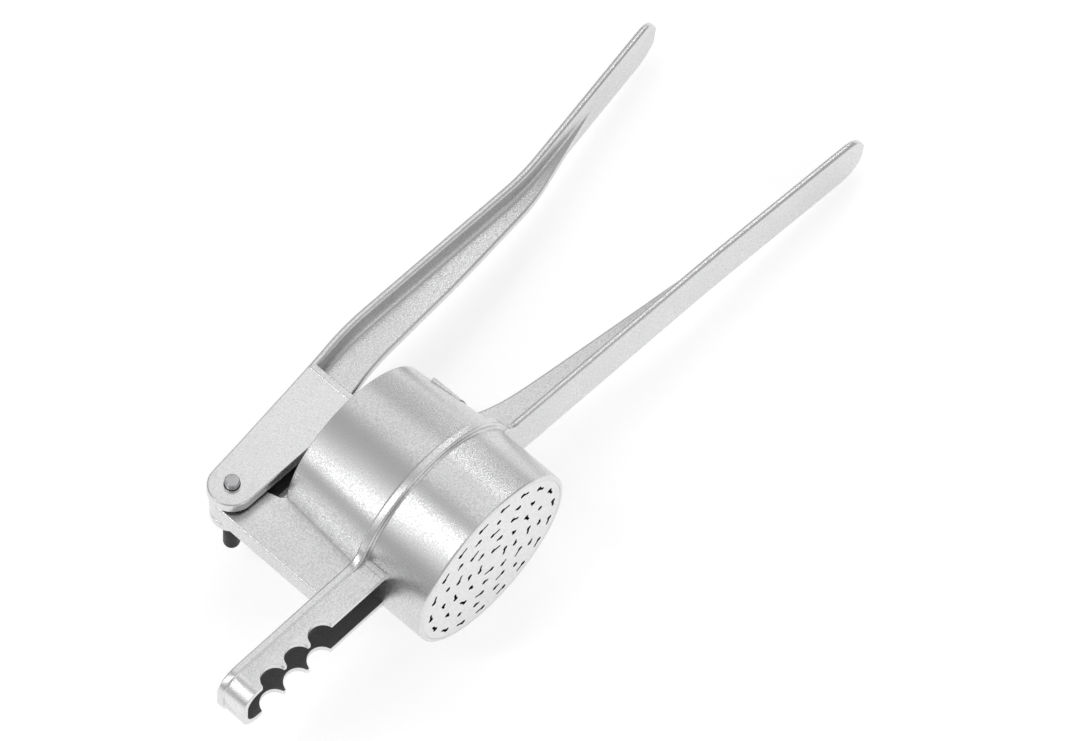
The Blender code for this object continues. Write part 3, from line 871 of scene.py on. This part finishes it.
def pale_floor():
    bm = bmesh.new()
    bmesh.ops.create_grid(bm, x_segments=8, y_segments=8, size=4.0)
    mesh = bpy.data.meshes.new("floor")
    bm.to_mesh(mesh)
    bm.free()
    material = bpy.data.materials.new("pale_floor")
    material.use_nodes = True
    shader = material.node_tree.nodes["Principled BSDF"]
    shader.inputs["Base Color"].default_value = (0.9, 0.9, 0.9, 1)
    shader.inputs["Roughness"].default_value = 0.9
    shader.inputs["Emission Color"].default_value = (1, 1, 1, 1)
    shader.inputs["Emission Strength"].default_value = PALE_GLOW
    mesh.materials.append(material)
    floor = bpy.data.objects.new("floor", mesh)
    floor.location.z = cad_low.z - 0.0005
    bpy.context.scene.collection.objects.link(floor)


pale_floor()

# %% Light


def soft_light(name, towards, distance, width, length, power):
    """A rectangle of light facing the cup, its long side along the cup's axis."""
    data = bpy.data.lights.new(name, "AREA")
    data.shape = "RECTANGLE"
    data.size, data.size_y = width, length
    data.energy = power
    light = bpy.data.objects.new(name, data)
    back = Vector(towards).normalized()
    light.location = cup_foot + Vector((0, 0.04, 0)) + back * distance
    light.rotation_mode = "QUATERNION"
    light.rotation_quaternion = back.to_track_quat("Z", "Y")
    bpy.context.scene.collection.objects.link(light)


LIGHTS = (  # name, direction from the cup, distance, width, length in metres, watts
    ("broad_light", (-0.60, 0.316, 0.73), 1.3, 0.10, 1.3, 2.4),
    ("narrow_light", (0.839, 0.316, 0.446), 1.3, 0.04, 1.0, 0.55),
    ("overhead_light", (0.42, 0.316, 0.85), 1.6, 0.9, 1.3, 2.1),
    ("front_fill", (0.2, -1.0, 0.55), 1.5, 1.2, 1.2, 3.0),
)
for row in LIGHTS:
    soft_light(*row)
print("lights set:", [row[0] for row in LIGHTS])

world = bpy.data.worlds.new("pale_sky")
world.use_nodes = True
world.node_tree.nodes["Background"].inputs["Color"].default_value = (1, 1, 1, 1)
world.node_tree.nodes["Background"].inputs["Strength"].default_value = PALE_GLOW
bpy.context.scene.world = world
bpy.context.scene.view_settings.view_transform = "Standard"

# %% Camera
CAMERA_FROM_FOOT = Vector((-0.4325, -0.4414, 1.3691))
CAMERA_TURN = (27.24, 0.58, -47.52)

lens = bpy.data.cameras.new("camera")
lens.lens = 121.2
lens.sensor_width = 36.0
camera = bpy.data.objects.new("camera", lens)
camera.location = cup_foot + CAMERA_FROM_FOOT
camera.rotation_euler = [math.radians(a) for a in CAMERA_TURN]
bpy.context.scene.collection.objects.link(camera)
bpy.context.scene.camera = camera
print("camera is", round((camera.location - cup_foot).length, 2), "m from the cup")

# %% The end
bpy.context.view_layer.update()
